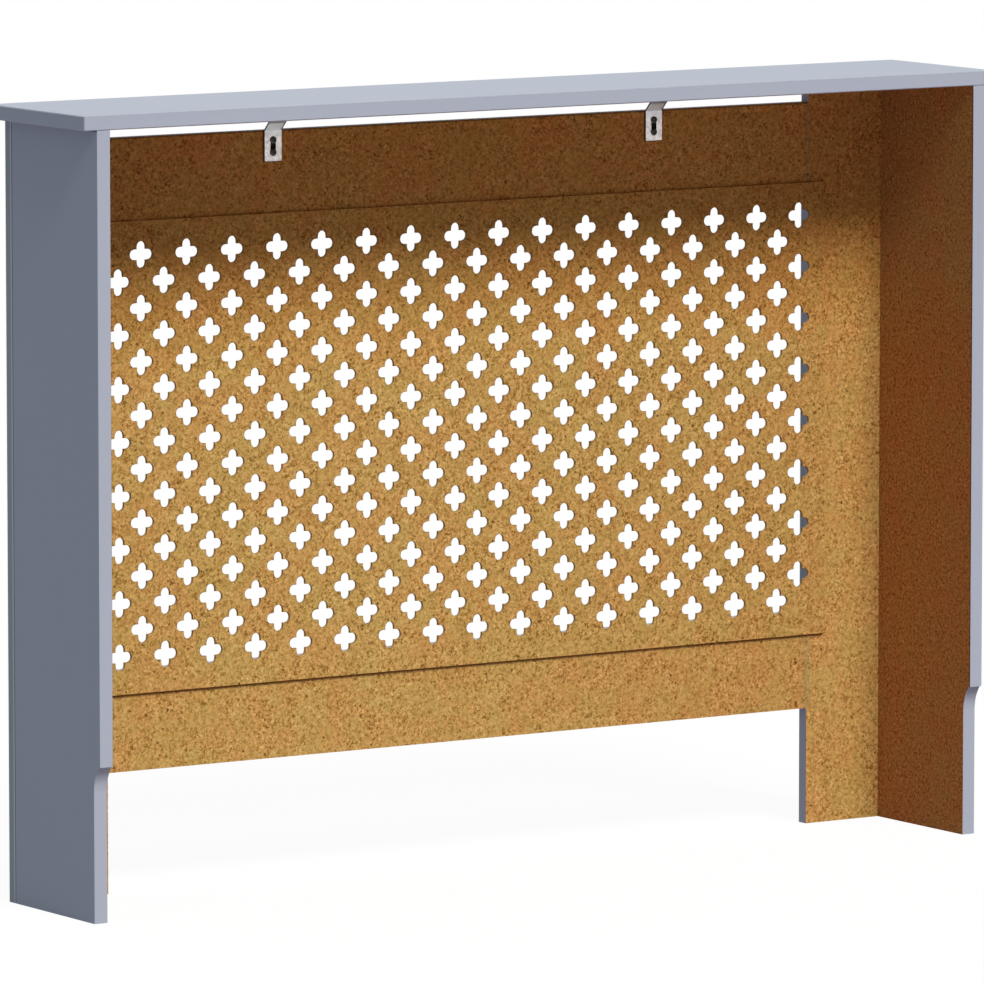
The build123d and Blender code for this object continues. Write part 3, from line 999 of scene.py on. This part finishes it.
# %% [markdown]
# Zinc plating is a dull pale grey with faint cloudy crystals. From the first fold up the web gets
# a bluer, duller zinc than the leg, as painted shade. The punch leaves the edges of the strip
# dark, and a dark line runs beside one of them on the web. A painted shade darkens the web where
# it goes up under the shelf. The finish reads the face's direction to find the edges.

# %% Zinc-plated steel
ZINC_PALE = rgb(0.870, 0.825, 0.800)
ZINC_DULL = rgb(0.680, 0.650, 0.650)
ZINC_WEB_SHADE = rgb(0.700, 0.710, 0.730)
ZINC_EDGE_AND_SHADE = rgb(0.070, 0.065, 0.070)
CRYSTAL_SIZE = 4.0 * MM
CRYSTALS = (0.38, 0.62)
ZINC_ROUGHNESS = (0.3, 0.7, 0.42, 0.58)
WEB_SHADE_BAND = (rail_high[2] - 9.0 * MM, rail_high[2] - 2.0 * MM)
SHADED_BAND = (rail_high[2] + 6.5 * MM, rail_high[2] + 8.5 * MM, 0.0, 0.6)
DARK_LINE_WIDTH = 1.8 * MM
DARK_LINE_STRENGTH = 0.8
EDGE_TURNED = 0.3                       # an edge looks sideways at least this much


def zinc_material():
    """Cloudy grey metal with dark edges, with painted shade on the web and under the shelf."""
    material, tree, shader, place = new_material("dull_zinc")
    axes = axes_of(tree, place)
    clouds = noise(tree, place, CRYSTAL_SIZE, detail=3.0)
    colour = mix_colours(tree, ramp(tree, clouds, *CRYSTALS), ZINC_PALE, ZINC_DULL)
    # Painted shade: a bluer, duller zinc on the web from the first fold up
    colour = mix_colours(tree, ramp(tree, axes[2], *WEB_SHADE_BAND), colour, ZINC_WEB_SHADE)
    own_middle = math_node(tree, "MULTIPLY", math_node(tree, "SIGN", axes[0]), bracket_x)
    off_middle = math_node(tree, "SUBTRACT", axes[0], own_middle)
    # A darker line beside one edge of the web
    beside_edge = short_of(tree, off_middle, DARK_LINE_WIDTH - STRIP_WIDTH / 2)
    darkened = both(tree, beside_edge, beyond(tree, axes[2], rail_high[2]))
    on_edge = beyond(tree, math_node(tree, "ABSOLUTE", facing(tree)[0]), EDGE_TURNED)
    dark = either(tree, on_edge, both(tree, darkened, DARK_LINE_STRENGTH))
    # Painted shade where the web goes up under the shelf
    dark = either(tree, dark, ramp(tree, axes[2], *SHADED_BAND))
    colour = mix_colours(tree, dark, colour, ZINC_EDGE_AND_SHADE)
    tree.links.new(colour, shader.inputs["Base Color"])
    shader.inputs["Metallic"].default_value = 1.0
    tree.links.new(ramp(tree, clouds, *ZINC_ROUGHNESS), shader.inputs["Roughness"])
    return material


# %% Fold the two brackets
EDGE_ROUNDING = 0.4 * MM
ROUNDED_ANGLE = math.radians(50)
ROUNDING_STEPS = 2


def rounded_edges(piece):
    """A narrow bevel on the sharp edges of a finished piece."""
    bevel = piece.modifiers.new("rounded_edges", "BEVEL")
    bevel.width = EDGE_ROUNDING
    bevel.segments = ROUNDING_STEPS
    bevel.limit_method = "ANGLE"
    bevel.angle_limit = ROUNDED_ANGLE


zinc = zinc_material()
plan_walls = np.concatenate([plan_rim, plan_rim[:, ::-1] + len(plan)], axis=1)
bracket_quads = np.concatenate([plan_quads, plan_quads[:, ::-1] + len(plan), plan_walls]).tolist()
for hand, sign in HANDS.items():
    s, w = plan[:, 0], plan[:, 1] + sign * bracket_x
    bracket_points = np.concatenate([folded(s, w, depth) for depth in (0.0, STRIP_THICKNESS)])
    name, solid = f"{hand}_folded_bracket", [f"{hand}_shelf_bracket"]
    rounded_edges(make_piece(name, bracket_points, bracket_quads, zinc, solid))

# %% [markdown]
# ## Screws
#
# Each bracket has two pan-head screws in the ends of its slot and one up through its flange. A
# screw is a stack of rings. On the head a ring's height is a dome less a cross-shaped recess, and
# on the shank its radius swings in and out once for each turn, a little later at each angle, which
# makes the thread. Only the heads show, but the shanks are real too and fill their bores.

# %% Shape of a pan-head screw
HEAD_RADIUS = 3.9 * MM
HEAD_HEIGHT = 1.6 * MM
HEAD_STEPS = [0.05, 0.12, 0.2, 0.3, 0.4, 0.5, 0.6, 0.7, 0.8, 0.88, 0.94, 0.98, 1.0]
RECESS_DEPTH = 1.0 * MM
BAR_ASIDE = (0.5 * MM, 0.3 * MM)        # half a bar's width, and the width of its sloping wall
BAR_ALONG = (2.0 * MM, 0.5 * MM)        # half a bar's length, and the same for its ends
CORE_RADIUS = 1.25 * MM
CREST_RADIUS = 1.75 * MM
THREAD_PITCH = 1.4 * MM
SCREW_LENGTH = 12.0 * MM
POINT_LENGTH = 3.0 * MM
POINT_BLUNTNESS = 0.03
SHANK_RINGS = 70
SCREW_POINTS = 48
screw_angles = np.arange(SCREW_POINTS) * 2 * math.pi / SCREW_POINTS


def within(distance, half, wall):
    """1 inside half a width, 0 outside it, with a slope of a wall's width between the two."""
    return np.clip((half - np.abs(distance)) / wall + 0.5, 0.0, 1.0)


def recess(x, y):
    """Depth of the cross recess: two crossed bars, each 1 mm wide with sloping walls."""
    bars = [within(b, *BAR_ASIDE) * within(a, *BAR_ALONG) for a, b in ((x, y), (y, x))]
    return RECESS_DEPTH * np.maximum(*bars)


def head_rings():
    """Radius and height of the head's rings: height = H * sqrt(1 - u ** 3) less the recess."""
    u = np.array(HEAD_STEPS)[:, None]
    radius = HEAD_RADIUS * u * np.ones(SCREW_POINTS)
    x, y = radius * np.cos(screw_angles), radius * np.sin(screw_angles)
    return radius, HEAD_HEIGHT * np.sqrt(1 - u**3) - recess(x, y)


def shank_rings():
    """Radius and height of the threaded shank, which tapers to a point over its last 3 mm."""
    height = -np.linspace(0.0, SCREW_LENGTH, SHANK_RINGS)[:, None] * np.ones(SCREW_POINTS)
    phase = (-height / THREAD_PITCH + screw_angles / (2 * math.pi)) % 1.0
    swing = 1 - np.abs(2 * phase - 1)
    taper = np.clip((height + SCREW_LENGTH) / POINT_LENGTH, POINT_BLUNTNESS, 1.0)
    return (CORE_RADIUS + (CREST_RADIUS - CORE_RADIUS) * swing) * taper, height


def screw_surface():
    """Points of a screw that stands on the plane z = 0 with its head up, and its faces."""
    radius, height = (np.concatenate(pair) for pair in zip(head_rings(), shank_rings()))
    x, y = radius * np.cos(screw_angles), radius * np.sin(screw_angles)
    points = np.stack([x, y, height], axis=2).reshape(-1, 3)
    number = np.arange(len(points)).reshape(-1, SCREW_POINTS)
    ends = [number[0].tolist(), number[-1][::-1].tolist()]
    return points, strip_quads(number[:-1], number[1:]).tolist() + ends


screw_points, screw_faces = screw_surface()
print(f"a screw: {len(screw_points)} points, {SCREW_LENGTH / THREAD_PITCH:.1f} turns of thread")


# %% [markdown]
# The heads are black oxide over steel: almost black, with a soft glint where the dome turns
# towards the light and in the walls of the recess. A screw is turned into its place and never
# mirrored, because a mirror would make its thread left-handed.

# %% Black screws in their places
SCREW_BLACK = rgb(0.034, 0.042, 0.036)
SCREW_WORN = rgb(0.100, 0.120, 0.100)
WEAR_SIZE = 1.2 * MM
WEAR = (0.50, 0.70)
SCREW_ROUGHNESS = (0.3, 0.7, 0.30, 0.45)
SCREW_METALLIC = 0.5
HEAD_BACKWARDS = [(-1, 0, 0), (0, 0, 1), (0, 1, 0)]     # where the screw's own x, y and z go
HEAD_DOWNWARDS = [(1, 0, 0), (0, -1, 0), (0, 0, -1)]


def black_material():
    """Black oxide that is a little worn where the noise is high."""
    material, tree, shader, place = new_material("black_oxide")
    wear = noise(tree, place, WEAR_SIZE, detail=3.0)
    colour = mix_colours(tree, ramp(tree, wear, *WEAR), SCREW_BLACK, SCREW_WORN)
    tree.links.new(colour, shader.inputs["Base Color"])
    shader.inputs["Metallic"].default_value = SCREW_METALLIC
    tree.links.new(ramp(tree, wear, *SCREW_ROUGHNESS), shader.inputs["Roughness"])
    return material


def drive_screws(name, solid_name, places, turn):
    """One piece of as many screws as there are places, each turned the same way."""
    turned = screw_points @ np.array(turn)
    points = np.concatenate([turned + place for place in places])
    starts = [len(screw_points) * copy for copy in range(len(places))]
    faces = [[number + start for number in face] for start in starts for face in screw_faces]
    make_piece(name, points, faces, black, [solid_name])


black = black_material()
for hand in HANDS:
    rail_screws, shelf_screw = f"{hand}_bracket_rail_screws", f"{hand}_bracket_shelf_screw"
    low, high = corners(rail_screws)
    x, y = (low[0] + high[0]) / 2, high[1] - HEAD_HEIGHT
    places = [(x, y, z) for z in (low[2] + HEAD_RADIUS, high[2] - HEAD_RADIUS)]
    drive_screws(f"{hand}_rail_pan_screws", rail_screws, places, HEAD_BACKWARDS)
    low, high = corners(shelf_screw)
    places = [((low[0] + high[0]) / 2, (low[1] + high[1]) / 2, low[2] + HEAD_HEIGHT)]
    drive_screws(f"{hand}_shelf_pan_screw", shelf_screw, places, HEAD_DOWNWARDS)

# %% [markdown]
# ## Light
#
# The light in the picture comes from straight behind the cover and high up, about 49 degrees above
# the floor. It is one broad soft source: the shelf's shadow across the grille has an edge more
# than a hand wide. A sun lamp with a wide angle gives nearly that edge, a faint bluish lamp lights
# the outer face that we see, and a pale sky fills the rest. The sky is stronger above than level
# with the cover, because little light comes back up from the floor.

# %% Sun and side fill
SUN_ELEVATION = math.radians(49.3)
SUN_WIDTH = math.radians(19.3)
SUN_STRENGTH = 2.95
SUN_COLOUR = (1.0, 0.990, 0.970)
FILL_FROM = Vector((0.80, -0.56, 0.20))
FILL_WIDTH = math.radians(70.0)
FILL_STRENGTH = 0.186
FILL_COLOUR = (0.50, 1.0, 1.20)
LAMP_DISTANCE = 3.0


def add_sun(name, heading, strength, width, colour):
    """A lamp at infinity, which the heading points to. width is its angle in the sky."""
    data = bpy.data.lights.new(name, "SUN")
    data.energy = strength
    data.angle = width
    data.color = colour
    add_aimed(name, data, heading, LAMP_DISTANCE * heading)
    print(f"{name}: strength {strength}, {math.degrees(width):.1f} degrees wide")


add_sun("high_soft_sun", toward(0.0, SUN_ELEVATION), SUN_STRENGTH, SUN_WIDTH, SUN_COLOUR)
add_sun("side_fill", FILL_FROM, FILL_STRENGTH, FILL_WIDTH, FILL_COLOUR)

# %% [markdown]
# The surroundings look white and throw a weaker light. Blender tells a material what kind of ray
# has met it, so one shader can answer the camera and another the light that goes from face to
# face.

# %% Sky
SKY_AT_HORIZON = 0.0
SKY_OVERHEAD = 0.413
SKY_COLOUR = rgb(1.0, 0.985, 0.915)


def seen_directly(tree):
    """1 for rays that show the surroundings as they are: to the camera, or in gloss or glass."""
    rays = add_node(tree, "ShaderNodeLightPath").outputs
    gloss = either(tree, rays["Is Glossy Ray"], rays["Is Transmission Ray"])
    return either(tree, rays["Is Camera Ray"], gloss)


def show(tree, output_name, unseen, seen):
    """Gives the output one shader where it is seen directly, and another for all other rays."""
    values = {0: seen_directly(tree), 1: unseen.outputs[0], 2: seen.outputs[0]}
    mixed = add_node(tree, "ShaderNodeMixShader", values)
    tree.links.new(mixed.outputs[0], tree.nodes[output_name].inputs["Surface"])


def white_surroundings():
    """A white backdrop for the camera, and a softer pale sky for the light."""
    world = bpy.data.worlds.new("pale_sky")
    bpy.context.scene.world = world
    world.use_nodes = True
    tree = world.node_tree
    sky = tree.nodes["Background"]
    sky.inputs["Color"].default_value = SKY_COLOUR
    height = axes_of(tree, add_node(tree, "ShaderNodeTexCoord").outputs["Generated"])[2]
    strength = ramp(tree, height, 0.0, 1.0, SKY_AT_HORIZON, SKY_OVERHEAD)
    tree.links.new(strength, sky.inputs["Strength"])
    backdrop = add_node(tree, "ShaderNodeBackground", {"Color": WHITE, "Strength": 1.0})
    show(tree, "World Output", sky, backdrop)


white_surroundings()
print(f"sky: strength {SKY_AT_HORIZON} at the horizon, {SKY_OVERHEAD} overhead")

# %% [markdown]
# ## Floor
#
# The floor is white to the camera and keeps only a faint shadow, because the object in the picture
# stands on plain white. Most of its white is its own glow, which is seen but throws no light.

# %% White floor with a faint shadow
FLOOR_HALF = 40.0
FLOOR_GLOW = 0.95
FLOOR_SHADE = rgb(0.05, 0.05, 0.05)
FLOOR_BOUNCE = rgb(0.364, 0.317, 0.371)


def floor_material():
    """A glow plus a little shaded white to the camera, and a plain grey to other rays."""
    material = bpy.data.materials.new("white_floor")
    material.use_nodes = True
    tree = material.node_tree
    tree.nodes.remove(tree.nodes["Principled BSDF"])
    glow = add_node(tree, "ShaderNodeEmission", {"Color": WHITE, "Strength": FLOOR_GLOW})
    shaded = add_node(tree, "ShaderNodeBsdfDiffuse", {"Color": FLOOR_SHADE})
    plain = add_node(tree, "ShaderNodeBsdfDiffuse", {"Color": FLOOR_BOUNCE})
    white = add_node(tree, "ShaderNodeAddShader", {0: glow.outputs[0], 1: shaded.outputs[0]})
    show(tree, "Material Output", plain, white)
    return material


floor_mesh = bpy.data.meshes.new("floor")
floor_corners = np.array([[-1, -1, 0], [1, -1, 0], [1, 1, 0], [-1, 1, 0]]) * FLOOR_HALF
floor_mesh.from_pydata(floor_corners.tolist(), [], [[0, 1, 2, 3]])
floor_mesh.materials.append(floor_material())
floor = add_object("floor", floor_mesh)
print(f"floor {2 * FLOOR_HALF} m square")
